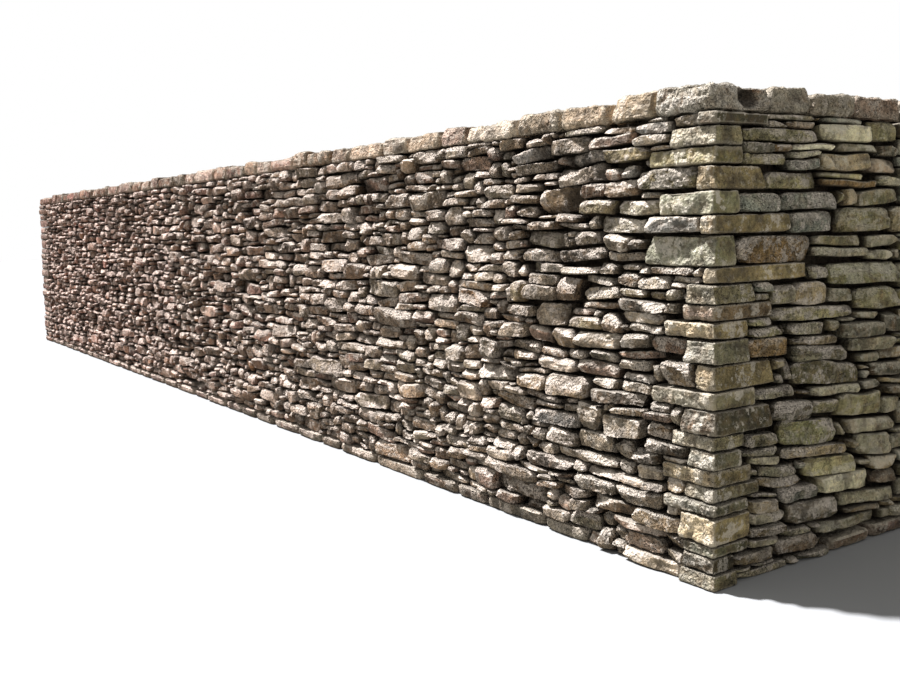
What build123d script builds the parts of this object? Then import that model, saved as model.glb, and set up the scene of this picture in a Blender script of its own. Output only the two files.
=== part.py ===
from build123d import *
import os
from itertools import cycle, islice
from typing import NamedTuple

# A dry stone retaining wall that turns one outer corner. A long front arm and a shorter
# return arm meet at bonded corner stones. All sizes are in millimetres.
# The origin is the foot of the outer corner, where the setting-out lines of both faces
# cross at ground level. The front arm runs along -X and faces -Y. The return arm runs
# along +Y and faces +X.

# Overall sizes
BAY_LENGTH = 2010
FRONT_BAYS = 6
RETURN_BAYS = 2
WALL_HEIGHT = 2100
COPE_THICKNESS = 110
BASE_THICKNESS = 700
TOP_THICKNESS = 360
FACE_LEAN = 0.02  # how far the outer face leans back for each unit of height

# Bond and joints
JOINT = 9  # open gap between neighbouring stones of one course
LAP = 80  # how far alternate courses reach past the nominal end of a bay
CORNER_MARGIN = 20  # masonry left beyond the longest corner stone
THINNEST_COURSE = 40
WORN_EDGE = 8  # chamfer of a stone's arrises

# Base course
BASE_COURSES = 1  # courses that one base stone is as thick as
PLINTH = 12  # how far the base stands out from the face above
BASE_LENGTHS = (420, 330, 510, 290, 380, 460, 350)
SHORTEST_BASE_STONE = 200

# Corner stones
QUOIN_PROUD = 8  # how far a corner stone stands out from the courses beside it

# Wall ends: through-stones alternate with pairs of runners
TIE_LENGTH = 290
RUNNER_LENGTH = 430
END_PROUD = 6

# Cope
COPE_LENGTHS = (270, 330, 360, 450, 260, 370, 240, 420, 310, 480)
COPE_RISES = (14, -8, 4, -12, 8, 0, -5, 10)  # tops above or below the average
COPE_OVERHANGS = (6, 12, 2, 9)
SHORTEST_COPE_STONE = 180
WEATHERED_EDGE = 20  # chamfer of a cope stone's top


class Course(NamedTuple):
    thickness: float
    quoin_on_front: float  # length of the course's corner stone along the front face
    quoin_on_return: float
    proud: float  # how far the course stands out from the leaning face


# From the ground up, as the stones of the outer corner lie.
COURSES = (
    Course(70, 190, 155, -6),
    Course(70, 180, 145, -6),
    Course(50, 180, 230, 0),
    Course(125, 200, 240, 4),
    Course(55, 295, 225, 6),
    Course(65, 185, 320, -12),
    Course(75, 315, 260, -6),
    Course(80, 165, 190, 2),
    Course(65, 255, 215, -4),
    Course(105, 200, 385, 14),
    Course(80, 380, 285, 0),
    Course(110, 130, 430, -5),
    Course(105, 185, 245, 6),
    Course(75, 300, 240, 0),
    Course(70, 205, 400, -6),
    Course(85, 185, 295, 3),
    Course(70, 110, 675, -8),
    Course(135, 450, 185, -10),
    Course(80, 120, 530, -6),
    Course(100, 350, 205, -8),
    Course(105, 150, 375, -3),
    Course(75, 415, 230, -5),
    Course(85, 290, 220, 2),
    Course(55, 135, 375, 0),
)

cope_bed = WALL_HEIGHT - COPE_THICKNESS
cope_back = FACE_LEAN * cope_bed + TOP_THICKNESS
back_lean = (BASE_THICKNESS - cope_back) / cope_bed
longest_quoin = max(max(c.quoin_on_front, c.quoin_on_return) for c in COURSES)
corner_reach = max(longest_quoin, BASE_THICKNESS) + LAP + CORNER_MARGIN


class Bed(NamedTuple):
    """A course as laid, with its levels and its depths behind the setting-out line."""

    number: int
    course: Course
    bottom: float
    top: float
    face: float
    back: float
    through: bool = False  # whether the wall's ends have a through-stone here


class Arm(NamedTuple):
    """One straight run of wall, seen from the corner."""

    name: str
    bays: int
    along: tuple  # direction away from the corner, in plan
    inward: tuple  # direction from the outer face into the wall, in plan

    @property
    def length(self):
        return corner_reach + self.bays * BAY_LENGTH


FRONT = Arm("front", FRONT_BAYS, (-1, 0), (0, 1))
RETURN = Arm("return", RETURN_BAYS, (0, 1), (-1, 0))


def lay_courses():
    """Stacks the courses up to the bed of the cope. The last one is cut to meet it."""
    beds = []
    bottom = 0
    for number, course in enumerate(cycle(COURSES)):
        top = bottom + course.thickness
        if cope_bed - top < THINNEST_COURSE:
            top = cope_bed
        middle = (bottom + top) / 2
        face = FACE_LEAN * middle - course.proud
        if number < BASE_COURSES:
            face -= PLINTH
        back = BASE_THICKNESS - back_lean * middle
        beds.append(Bed(number, course, bottom, top, face, back))
        if top == cope_bed:
            return with_through_stones(beds)
        bottom = top


def with_through_stones(beds):
    """Puts a through-stone under the cope at the wall's ends, and in every second course below."""
    return [bed._replace(through=(len(beds) - bed.number) % 2 == 1) for bed in beds]


def block(arm, near, far, face, back, bottom, top):
    """A plain block, from near to far along an arm and from face to back through it."""
    ends = ((near, face), (far, back))
    xs = sorted(s * arm.along[0] + d * arm.inward[0] for s, d in ends)
    ys = sorted(s * arm.along[1] + d * arm.inward[1] for s, d in ends)
    size = Box(xs[1] - xs[0], ys[1] - ys[0], top - bottom, align=(Align.MIN,) * 3)
    return Pos(xs[0], ys[0], bottom) * size


def worn(stone):
    """Takes the sharp arrises off a stone."""
    return chamfer(stone.edges(), WORN_EDGE)


def weathered(stone):
    """A worn stone whose top edges have weathered further back."""
    upper = stone.edges().group_by(Axis.Z)[-1]
    stone = chamfer(upper, WEATHERED_EDGE)
    lower = stone.edges().group_by(Axis.Z)[0]
    return chamfer(lower, WORN_EDGE)


def one_mass(blocks):
    """Courses of one stretch as a single mass of masonry."""
    return blocks[0].fuse(*blocks[1:]).clean()


def stones_between(start, end, lengths, shortest):
    """Splits a row into stones with open joints, as (near, far) pairs."""
    row = []
    near = start
    for length in lengths:
        far = near + length
        if end - far < shortest:
            far = end
        row.append((near + JOINT / 2, far - JOINT / 2))
        if far == end:
            return row
        near = far


def bay_end(arm, bay, bed):
    """Where a bay ends in one course. Alternate courses lap past the nominal joint."""
    if bay == arm.bays:
        return arm.length - end_length(bed)
    lap = LAP if bed.through else -LAP
    if bed.number < BASE_COURSES:
        lap = 0
    return corner_reach + bay * BAY_LENGTH + lap


def end_length(bed):
    """Length of the end stones in one course: a through-stone or a pair of runners."""
    return TIE_LENGTH if bed.through else RUNNER_LENGTH


def wall_bay(arm, bay, beds):
    """The coursed masonry of one bay, which stands on the base stones."""
    return one_mass([
        block(arm, bay_end(arm, bay - 1, bed), bay_end(arm, bay, bed),
              bed.face, bed.back, bed.bottom, bed.top)
        for bed in beds[BASE_COURSES:]
    ])


def corner_quoin(bed, proud=QUOIN_PROUD):
    """The stone that turns the corner in one course, as a plain block."""
    return block(FRONT, bed.face - proud, bed.course.quoin_on_front,
                 bed.face - proud, bed.course.quoin_on_return, bed.bottom, bed.top)


def corner_backing(beds):
    """The masonry of the corner, with a seat for every corner stone."""
    arms = [
        block(arm, bed.face, bay_end(arm, 0, bed), bed.face, bed.back, bed.bottom, bed.top)
        for bed in beds
        for arm in (FRONT, RETURN)
    ]
    seats = one_mass([corner_quoin(bed) for bed in beds])
    return one_mass(arms) - seats


def end_stones(arm, bed):
    """One course of a wall end: a through-stone, or two runners side by side."""
    near, far = arm.length - end_length(bed), arm.length + END_PROUD
    if bed.through:
        widths = [(bed.face - END_PROUD, bed.back + END_PROUD)]
    else:
        middle = (bed.face + bed.back) / 2
        widths = [
            (bed.face - END_PROUD, middle - JOINT / 2),
            (middle + JOINT / 2, bed.back + END_PROUD),
        ]
    return [
        worn(block(arm, near, far, face, back, bed.bottom, bed.top))
        for face, back in widths
    ]


def end_base_stone(arm, beds):
    """The single stone under a wall end."""
    first, last = beds[0], beds[BASE_COURSES - 1]
    return worn(block(arm, arm.length - RUNNER_LENGTH, arm.length + PLINTH,
                      first.face, first.back, first.bottom, last.top))


def base_stones(arm, bay, beds):
    """The base stones of one bay. Their end joints miss those of the bay above."""
    first, last = beds[0], beds[BASE_COURSES - 1]
    start = corner_reach + (bay - 1) * BAY_LENGTH + (LAP if bay > 1 else 0)
    end = corner_reach + bay * BAY_LENGTH + LAP
    if bay == arm.bays:
        end = arm.length - RUNNER_LENGTH
    lengths = islice(cycle(BASE_LENGTHS), bay, None)
    return [
        worn(block(arm, near, far, first.face, first.back, first.bottom, last.top))
        for near, far in stones_between(start, end, lengths, SHORTEST_BASE_STONE)
    ]


def cope_stone(arm, near, far, rise, overhang):
    """One flat cope stone across the top of the wall."""
    face = FACE_LEAN * cope_bed
    return weathered(block(arm, near, far, face - overhang, cope_back + overhang,
                           cope_bed, WALL_HEIGHT + rise))


def cope_stones(arm, bay):
    """The cope of one bay. Its end joints miss those of the bay below."""
    start = corner_reach + (bay - 1) * BAY_LENGTH - LAP
    end = corner_reach + bay * BAY_LENGTH - LAP
    if bay == 1:
        start = cope_back + JOINT / 2
    if bay == arm.bays:
        end = arm.length + END_PROUD
    lengths = islice(cycle(COPE_LENGTHS), 3 * (bay - 1), None)
    row = stones_between(start, end, lengths, SHORTEST_COPE_STONE)
    rises = islice(cycle(COPE_RISES), bay - 1, None)
    overhangs = islice(cycle(COPE_OVERHANGS), bay - 1, None)
    return [
        cope_stone(arm, near, far, rise, overhang)
        for (near, far), rise, overhang in zip(row, rises, overhangs)
    ]


def corner_cap():
    """The square cope stone on the corner."""
    face = FACE_LEAN * cope_bed - max(COPE_OVERHANGS)
    return weathered(block(FRONT, face, cope_back, face, cope_back,
                           cope_bed, WALL_HEIGHT + max(COPE_RISES)))


def wall_parts():
    """Every sub-part by name."""
    beds = lay_courses()
    quoins = [worn(corner_quoin(bed)) for bed in beds]
    parts = {
        "corner_cap": [corner_cap()],
        "corner_quoins_odd_courses": quoins[0::2],
        "corner_quoins_even_courses": quoins[1::2],
        "corner_backing": [corner_backing(beds)],
    }
    for arm in (FRONT, RETURN):
        upper = beds[BASE_COURSES:]
        runners = [end_stones(arm, bed) for bed in upper if not bed.through]
        ties = [end_stones(arm, bed) for bed in upper if bed.through]
        parts[f"{arm.name}_end_runners"] = sum(runners, [])
        parts[f"{arm.name}_end_ties"] = sum(ties, [])
        parts[f"{arm.name}_end_base"] = [end_base_stone(arm, beds)]
        for bay in range(1, arm.bays + 1):
            parts[f"{arm.name}_base_course_{bay}"] = base_stones(arm, bay, beds)
            parts[f"{arm.name}_wall_{bay}"] = [wall_bay(arm, bay, beds)]
            parts[f"{arm.name}_cope_{bay}"] = cope_stones(arm, bay)
    return parts


os.makedirs("parts", exist_ok=True)
for name, solids in wall_parts().items():
    export_step(Compound(children=[Solid(s.solid().wrapped) for s in solids]), f"parts/{name}.step")
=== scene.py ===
from itertools import combinations, product
from math import cos, radians, sin
from typing import NamedTuple

import bpy
import numpy as np
from mathutils import Matrix, Vector


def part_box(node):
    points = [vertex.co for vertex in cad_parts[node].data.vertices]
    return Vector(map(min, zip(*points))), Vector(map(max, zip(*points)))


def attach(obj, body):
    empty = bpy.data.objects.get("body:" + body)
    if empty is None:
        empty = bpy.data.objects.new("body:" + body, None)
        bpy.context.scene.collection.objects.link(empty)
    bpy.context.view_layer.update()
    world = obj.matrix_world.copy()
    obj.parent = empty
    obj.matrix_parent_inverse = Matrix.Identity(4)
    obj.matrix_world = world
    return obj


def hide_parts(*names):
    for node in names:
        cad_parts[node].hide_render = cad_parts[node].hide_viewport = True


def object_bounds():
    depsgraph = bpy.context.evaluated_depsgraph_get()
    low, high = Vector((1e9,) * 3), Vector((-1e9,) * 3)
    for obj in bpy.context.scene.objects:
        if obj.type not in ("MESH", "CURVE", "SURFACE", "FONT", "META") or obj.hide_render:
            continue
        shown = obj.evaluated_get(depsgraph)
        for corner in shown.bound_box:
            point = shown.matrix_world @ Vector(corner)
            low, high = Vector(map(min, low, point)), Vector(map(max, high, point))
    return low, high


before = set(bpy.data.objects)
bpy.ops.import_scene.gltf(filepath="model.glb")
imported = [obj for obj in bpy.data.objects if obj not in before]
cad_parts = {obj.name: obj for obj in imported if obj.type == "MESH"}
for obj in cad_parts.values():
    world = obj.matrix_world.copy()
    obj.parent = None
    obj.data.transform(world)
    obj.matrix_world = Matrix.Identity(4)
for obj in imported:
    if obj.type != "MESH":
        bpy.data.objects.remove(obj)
cad_low, cad_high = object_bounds()

# A dry stone wall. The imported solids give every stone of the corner, cope, base and ends
# its place, and the courses, faces and backs of the walling. Lengths are in metres.

SEED = 11
MARK = 0.005  # stones are laid on a row of marks this far apart
BODY = "root"
UPWARD = np.array([0, 0, 1])


# Reading the frame

def triangles(node):
    """Corner points of a node's triangles, as (count, 3, 3)."""
    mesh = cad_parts[node].data
    mesh.calc_loop_triangles()
    corners = np.zeros(len(mesh.loop_triangles) * 3, np.int32)
    mesh.loop_triangles.foreach_get("vertices", corners)
    points = np.zeros(len(mesh.vertices) * 3, np.float32)
    mesh.vertices.foreach_get("co", points)
    return points.reshape(-1, 3)[corners].reshape(-1, 3, 3).astype(float)


def solids_of(node):
    """(low, high) corners of each separate solid in a node."""
    tris = triangles(node)
    keys, number = np.unique(np.round(tris.reshape(-1, 3), 5), axis=0, return_inverse=True)
    number = number.reshape(-1, 3)
    group = np.arange(len(keys))
    settled = False
    while not settled:
        before = group.copy()
        lowest = group[number].min(1)
        for side in range(3):
            np.minimum.at(group, number[:, side], lowest)
        settled = (group == before).all()
    return [(keys[group == g].min(0), keys[group == g].max(0)) for g in np.unique(group)]


def cut_at(node, height):
    """(low, high) corners of a level cut through a node."""
    start = triangles(node)
    end = np.roll(start, -1, axis=1)
    above, below = start[..., 2] - height, end[..., 2] - height
    crossing = above * below < 0
    share = (above / np.where(above == below, 1, above - below))[crossing]
    points = start[crossing] + share[:, None] * (end - start)[crossing]
    return points.min(0), points.max(0)


def by_name(start):
    """Names of the nodes that start so, in order."""
    return sorted(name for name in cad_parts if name.startswith(start))


corner_stones = sorted(
    solids_of("corner_quoins_odd_courses") + solids_of("corner_quoins_even_courses"),
    key=lambda box: box[0][2],
)
cope_bed = corner_stones[-1][1][2]
base_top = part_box("front_base_course_1")[1].z


def span(box, direction):
    """(least, most) distance of a box's corners in a direction."""
    return tuple(sorted(float(np.array(corner) @ direction) for corner in box))


class Arm(NamedTuple):
    """One straight run of wall, seen from the corner."""

    name: str
    along: np.ndarray  # away from the corner
    outward: np.ndarray  # from the wall to its outer side

    def reach(self, box):
        """(near, far) distances of a box from the corner along the arm."""
        return span(box, self.along)

    def depths(self, box):
        """(nearer the back, nearer the outer side) distances of a box across the arm."""
        return span(box, self.outward)


FRONT = Arm("front", np.array([-1.0, 0, 0]), np.array([0, -1.0, 0]))
RETURN = Arm("return", np.array([0, 1.0, 0]), np.array([1.0, 0, 0]))
ARMS = (FRONT, RETURN)

levels = np.array([(low[2] + high[2]) / 2 for low, high in corner_stones if low[2] >= base_top - MARK])
sections = [cut_at("front_wall_1", level) for level in levels]
face_depths = np.array([FRONT.depths(section)[1] for section in sections])
back_depths = np.array([FRONT.depths(section)[0] for section in sections])


def face_at(height):
    """How far out the outer faces lie at a height."""
    return np.interp(height, levels, face_depths)


def back_at(height):
    """How far out the backs lie at a height, which is a negative distance."""
    return np.interp(height, levels, back_depths)


# Noise

HASH_STEPS = (374761393, 668265263, 2147483647, 974634777)  # for x, y, z and the seed
HASH_FACTOR = 1274126177
HASH_BITS = 0xFFFFFFFF
VALUE_BITS = 0xFFFF


def eased(share):
    """A share from 0 to 1 that starts and ends gently."""
    return share * share * (3 - 2 * share)


def value_at(cell, seed):
    """A fixed value between -1 and 1 for each point with whole coordinates."""
    x, y, z = cell.T
    step_x, step_y, step_z, step_seed = HASH_STEPS
    mixed = (x * step_x + y * step_y + z * step_z + seed * step_seed) & HASH_BITS
    mixed = ((mixed ^ (mixed >> 13)) * HASH_FACTOR) & HASH_BITS
    return ((mixed ^ (mixed >> 16)) & VALUE_BITS) / (VALUE_BITS / 2) - 1


def noise(points, seed):
    """Smooth noise between -1 and 1, one value for each point."""
    cell = np.floor(points).astype(np.int64)
    inside = eased(points - cell)
    total = np.zeros(len(points))
    for corner in product((0, 1), repeat=3):
        total += value_at(cell + corner, seed) * np.where(corner, inside, 1 - inside).prod(1)
    return total


# Colours, as red, green and blue from 0 to 1 in linear light

def srgb(red, green, blue):
    """A colour written from 0 to 255 as it looks on a screen."""
    shown = np.array([red, green, blue]) / 255
    return np.where(shown <= 0.04045, shown / 12.92, ((shown + 0.055) / 1.055) ** 2.4)


COLOURS = {
    "grey": srgb(180, 175, 162),
    "green_grey": srgb(170, 171, 156),
    "blue_grey": srgb(160, 165, 166),
    "cool_grey": srgb(164, 163, 155),
    "tan": srgb(192, 178, 154),
    "olive": srgb(166, 160, 132),
    "moss": srgb(136, 136, 108),
    "brown": srgb(162, 147, 128),
    "purple_brown": srgb(150, 132, 124),
    "rusty": srgb(160, 133, 100),
    "pink": srgb(186, 165, 152),
    "pale": srgb(208, 202, 187),
    "white": srgb(242, 237, 226),
    "dark": srgb(108, 105, 98),
}


def palette(**shares):
    """Colours by name, each with its share of the stones."""
    return tuple((COLOURS[name], share) for name, share in shares.items())


FRONT_TINTS = palette(
    grey=6, tan=4, green_grey=4, pink=2.5, purple_brown=1.5, pale=3, brown=2, dark=1.2, rusty=0.3,
)
RETURN_TINTS = palette(
    olive=4, grey=4, blue_grey=3, tan=2, brown=2, moss=1, rusty=0.5, dark=1, pale=1,
)
BASE_TINTS = palette(dark=2, brown=3, grey=2, purple_brown=2)
COPE_TINTS = palette(tan=3, grey=3, pink=1.5, pale=0.8, brown=3)
BACK_TINTS = FRONT_TINTS + RETURN_TINTS


class Look(NamedTuple):
    """How the stones of one side are chosen and how rough they are."""

    tints: tuple
    cast: tuple  # what all its colours are multiplied by
    thickness: tuple  # least, usual and most
    aspect: tuple  # length over thickness, least and most
    longest: float
    tall_share: float  # share of stones that are about as high as long
    snap: float  # how readily a stone is chosen to end level with its neighbour
    wobble: float  # how far beds wander up and down
    sway: float  # how far end joints wander along the face
    unevenness: float  # how far stones stand out or back
    joint: float  # width of the widest joints
    contrast: float  # how much lighter or darker one stone is than the next
    slant: float  # how much beds, ends and faces lean
    turn: float  # how far a stone is turned on the face, in degrees
    shoulder: float  # how much further down the face the upper facets reach, from 0 to 1
    chips: int  # pieces broken off round the front
    steepness: tuple  # their tilt in degrees
    sharpness: float
    lumps: float
    grain: float


FRONT_LOOK = Look(
    tints=FRONT_TINTS, cast=(0.94, 0.88, 0.82),
    thickness=(0.026, 0.058, 0.110), aspect=(1.9, 5.6), longest=0.44, tall_share=0.08,
    snap=0.35, wobble=0.009, sway=0.012, unevenness=0.013, joint=0.0045, contrast=0.17, slant=1.25,
    turn=2.4, shoulder=0.04, chips=3, steepness=(25, 65), sharpness=70, lumps=0.0048, grain=0.0030,
)
# Its cast makes its stones lighter and more yellow than the front's: painted light for a side that lies in
# shade.
RETURN_LOOK = Look(
    tints=RETURN_TINTS, cast=(1.10, 1.10, 0.89),
    thickness=(0.03, 0.074, 0.13), aspect=(2.0, 5.4), longest=0.50, tall_share=0.04,
    snap=0.45, wobble=0.008, sway=0.010, unevenness=0.009, joint=0.009, contrast=0.28, slant=0.6,
    turn=1.0, shoulder=0.0, chips=2, steepness=(18, 55), sharpness=32, lumps=0.0036, grain=0.0018,
)
BACK_LOOK = FRONT_LOOK._replace(
    tints=BACK_TINTS, thickness=(0.04, 0.085, 0.14), aspect=(1.5, 4.0), longest=0.46,
)
LOOKS = {  # of the outer side and of the back
    "front": (FRONT_LOOK, BACK_LOOK),
    # the back of the return has a darker cast: painted shade on a side that faces the key light
    "return": (RETURN_LOOK, BACK_LOOK._replace(cast=(0.70, 0.66, 0.60))),
}


# Choosing the place of every walling stone

SMALLEST = (0.025, 0.016)  # a gap less long or thick than this is left open
FAR = 10  # the walling grows looser and more pink up to this distance from the corner


class Cell(NamedTuple):
    """The room that one stone has on a face."""

    near: float
    far: float
    bottom: float
    top: float

    def grown(self, margin):
        return Cell(self.near - margin, self.far + margin, self.bottom - margin, self.top + margin)

    @property
    def middle(self):
        """Distances of its middle along and up."""
        return (self.near + self.far) / 2, (self.bottom + self.top) / 2

    @property
    def big_enough(self):
        return self.far - self.near >= SMALLEST[0] and self.top - self.bottom >= SMALLEST[1]


def parted(one, other, share):
    """Two cells drawn back where they overlap least. share of the overlap comes off the first."""
    wide = min(one.far, other.far) - max(one.near, other.near)
    high = min(one.top, other.top) - max(one.bottom, other.bottom)
    if min(wide, high) <= 0:
        return one, other
    shortest = min(one.far - one.near, other.far - other.near)
    thinnest = min(one.top - one.bottom, other.top - other.bottom)
    overlap, start, end = high, "bottom", "top"
    if wide / shortest < high / thinnest:
        overlap, start, end = wide, "near", "far"
    if getattr(one, start) < getattr(other, start):
        one_side, other_side, sign = end, start, -1
    else:
        one_side, other_side, sign = start, end, 1
    one = one._replace(**{one_side: getattr(one, one_side) + sign * share * overlap})
    other = other._replace(**{other_side: getattr(other, other_side) - sign * (1 - share) * overlap})
    return one, other


def untangled(cells, fixed):
    """Cells drawn back until they overlap neither each other nor fixed ones."""
    cells = list(cells)
    for first, second in combinations(range(len(cells)), 2):
        cells[first], cells[second] = parted(cells[first], cells[second], 0.5)
    for number, room in product(range(len(cells)), fixed):
        cells[number], _ = parted(cells[number], room, 1)
    return cells


SHORTEST = int(0.06 / MARK)  # length of the shortest stone laid, in marks
SIZE_SPREAD = 0.36  # spread of the logarithm of the thicknesses
FAR_SHORTER = 0.35  # how much shorter stones are far from the corner
TALL_THICKNESS, TALL_ASPECT = (1.3, 2.0), (0.8, 1.5)  # of the tall stones
OFF_A_JOINT = (-7, 7, 8)  # marks by which the end of a stone moves off a joint under it
JOINT_REACH = 3  # a joint so many marks aside still counts as under it
LEAST_MARKS = 4  # length that is left of a stone whose end is moved
ROOM_FOR_TWO = 1.35  # a stretch longer than this many stones takes two
SNAP_MARGIN = 0.006  # a stone this near in thickness to its neighbour's step is always level with it
THINNER, THICKER = 0.8, 1.25  # how far past the least and most thickness a stone may go to fit


class Row:
    """The tops of the stones laid so far, at every mark along a face."""

    def __init__(self, near, far, bottom, top, taken, look, rng):
        self.near = near
        self.bottom = bottom
        self.top = top
        self.look = look
        self.rng = rng
        self.count = int(round((far - near) / MARK))
        self.height = np.full(self.count, bottom)
        self.joint_top = np.full(self.count + 1, -1.0)
        self.taken = [
            (slice(self.mark(cell.near), self.mark(cell.far)), cell.bottom, cell.top)
            for cell in sorted(taken, key=lambda cell: cell.bottom)
        ]
        self.cells = []

    def mark(self, distance):
        return int(np.clip(round((distance - self.near) / MARK), 0, self.count))

    def pass_taken(self):
        """Lifts the row over stones that have their place already."""
        for columns, bottom, top in self.taken:
            tops = self.height[columns]
            tops[(tops > bottom - MARK / 2) & (tops < top)] = top

    def lowest_stretch(self):
        """(first mark, last mark + 1, height) of the lowest level stretch."""
        low = self.height.min()
        at = int(self.height.argmin())
        level = np.abs(self.height - low) < MARK / 2
        before = np.flatnonzero(~level[:at])
        after = np.flatnonzero(~level[at:])
        start = before[-1] + 1 if len(before) else 0
        end = at + after[0] if len(after) else self.count
        return start, end, low

    def ceiling(self, start, end, low):
        """The lowest thing above a stretch."""
        above = [
            bottom for columns, bottom, _ in self.taken
            if columns.start < end and columns.stop > start and bottom > low - MARK / 2
        ]
        return min(above, default=self.top)

    def choose_size(self, mark):
        """A thickness and a length. Stones are shorter far from the corner."""
        least, usual, most = self.look.thickness
        thickness = float(np.clip(usual * np.exp(SIZE_SPREAD * self.rng.normal()), least, most))
        share = min((self.near + mark * MARK) / FAR, 1)
        aspect = self.rng.uniform(*self.look.aspect) * (1 - FAR_SHORTER * share)
        if self.rng.random() < self.look.tall_share:
            thickness = self.rng.uniform(*TALL_THICKNESS) * usual
            aspect = self.rng.uniform(*TALL_ASPECT)
        return thickness, min(thickness * aspect, self.look.longest)

    def clear_of_joint(self, start, end, low):
        """Moves the far end of a stone off a joint that ends right under it."""
        around = slice(max(end - JOINT_REACH, 0), end + JOINT_REACH + 1)
        if (np.abs(self.joint_top[around] - low) < MARK / 2).any():
            end += int(self.rng.choice(OFF_A_JOINT))
        return max(end, start + LEAST_MARKS)

    def choose_place(self, start, end, low, marks):
        """(first mark, last mark + 1, height beside it) of a stone so many marks long on a stretch."""
        left = self.height[start - 1] if start else np.inf
        right = self.height[end] if end < self.count else np.inf
        if end - start <= marks + SHORTEST:
            if end - start <= ROOM_FOR_TWO * marks:
                return start, end, min(left, right)
            cut = self.clear_of_joint(start, start + (end - start) // 2, low)
            return start, min(cut, end), left
        if self.rng.random() < 0.5:
            return start, min(self.clear_of_joint(start, start + marks, low), end), left
        return max(end - marks, start), end, right

    def fitted(self, thickness, step, room):
        """A thickness level with the stone beside, where it is near that, that fits the room above."""
        least, _, most = self.look.thickness
        if np.isfinite(step) and abs(step - thickness) < self.look.snap * thickness + SNAP_MARGIN:
            thickness = step
        if room - thickness < THINNER * least:
            thickness = room if room < THICKER * most else room / 2
        return thickness

    def lay(self):
        """Lays one stone on the lowest stretch."""
        start, end, low = self.lowest_stretch()
        thickness, length = self.choose_size(start)
        marks = max(int(length / MARK), SHORTEST)
        start, end, beside = self.choose_place(start, end, low, marks)
        thickness = self.fitted(thickness, beside - low, self.ceiling(start, end, low) - low)
        self.height[start:end] = low + thickness
        self.joint_top[[start, end]] = low + thickness
        near, far = self.near + start * MARK, self.near + end * MARK
        self.cells.append(Cell(near, far, low, low + thickness))

    def fill(self):
        """Lays stones until the row has reached its top everywhere."""
        self.pass_taken()
        while self.height.min() < self.top - MARK / 2:
            self.lay()
            self.pass_taken()
        return [cell for cell in self.cells if cell.big_enough]


# The shape of a stone: a rounded solid bounded by planes, then roughened

def carve(directions, normals, offsets, sharpness):
    """Points and outward normals where directions from the centre leave the solid, and how near
    they are to an arris."""
    pull = np.maximum(directions @ normals.T / offsets, 0)
    power = pull ** sharpness
    total = power.sum(1)
    points = directions * (total ** (-1 / sharpness))[:, None]
    outward = (power / np.maximum(pull, 1e-6) / offsets) @ normals
    outward /= np.linalg.norm(outward, axis=1)[:, None]
    return points, outward, 1 - power.max(1) / total


def unit(*parts):
    """A direction of length one."""
    direction = np.array(parts, float)
    return direction / np.linalg.norm(direction)


def through(normal, point):
    """A plane as its normal and its distance from the centre."""
    return normal, float(normal @ np.array(point))


BED_LEAN = 0.09  # how much the beds of a stone slant along the face
BED_TAPER = (-0.02, 0.10)  # how much its beds draw together towards the face
END_LEAN, MOST_END_LEAN = 0.2, 0.22
END_TAPER = (-0.02, 0.12)
CUT_ALONG = (0.06, 1.0)  # size of its broken corners, as shares of half its height
CUT_UP = (0.05, 0.75)  # at least, and more where its look is slanting
CUT_BACK = 0.2


def side_planes(half_length, half_height, depth, look, rng):
    """Beds, ends and the broken corners between them."""
    planes = []
    least = min(half_length, half_height)
    for side in (-1, 1):
        lean = look.slant * rng.uniform(-BED_LEAN, BED_LEAN) * half_height / half_length
        normal = unit(lean, side, rng.uniform(*BED_TAPER) * half_height / depth)
        planes.append(through(normal, (-np.sign(lean) * half_length, side * half_height, 0)))
        most = min(MOST_END_LEAN, END_LEAN * half_length / half_height)
        lean = look.slant * rng.uniform(-1, 1) * most
        normal = unit(side, lean, rng.uniform(*END_TAPER) * least / depth)
        planes.append(through(normal, (side * half_length, -np.sign(lean) * half_height, 0)))
    for end, bed in product((-1, 1), repeat=2):
        along = rng.uniform(*CUT_ALONG) * least
        up = (CUT_UP[0] + CUT_UP[1] * look.slant * rng.uniform(0, 1) ** 2) * half_height
        normal = unit(end * up, bed * along, rng.uniform(0, CUT_BACK) * half_height)
        planes.append(through(normal, (end * (half_length - along), bed * half_height, 0)))
    return planes


def facet(azimuth, tilt, crossing, depth):
    """A plane that tilts away from the face, which it meets at a distance from the middle."""
    towards = np.array([cos(azimuth), sin(azimuth), 0])
    normal = sin(tilt) * towards + cos(tilt) * UPWARD
    return through(normal, crossing * towards + depth * UPWARD)


UP, DOWN = np.pi / 2, -np.pi / 2
FACE_LEAN = (0.10, 0.14)  # how much the face leans along and up
FACETS = ((UP, 22, 52), (UP, 12, 40), (DOWN, 4, 30))  # where they lie, least and most tilt
FACET_SWING = 0.9  # how far a facet turns from its place, in radians
FACET_START = (-0.05, 0.7)  # where a facet meets the face, from 0 in the middle to 1 at the edge
DEEPEST_CUT = 0.034  # how far a facet leads back from the face at the edge of a stone
LARGEST_CHIP = 0.024
CHIP_START = 0.5  # a chip starts no nearer the middle of the face than this share of the way out
LEAST_OFFSET = 0.15  # of any plane from the centre, as a share of half the height


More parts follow.
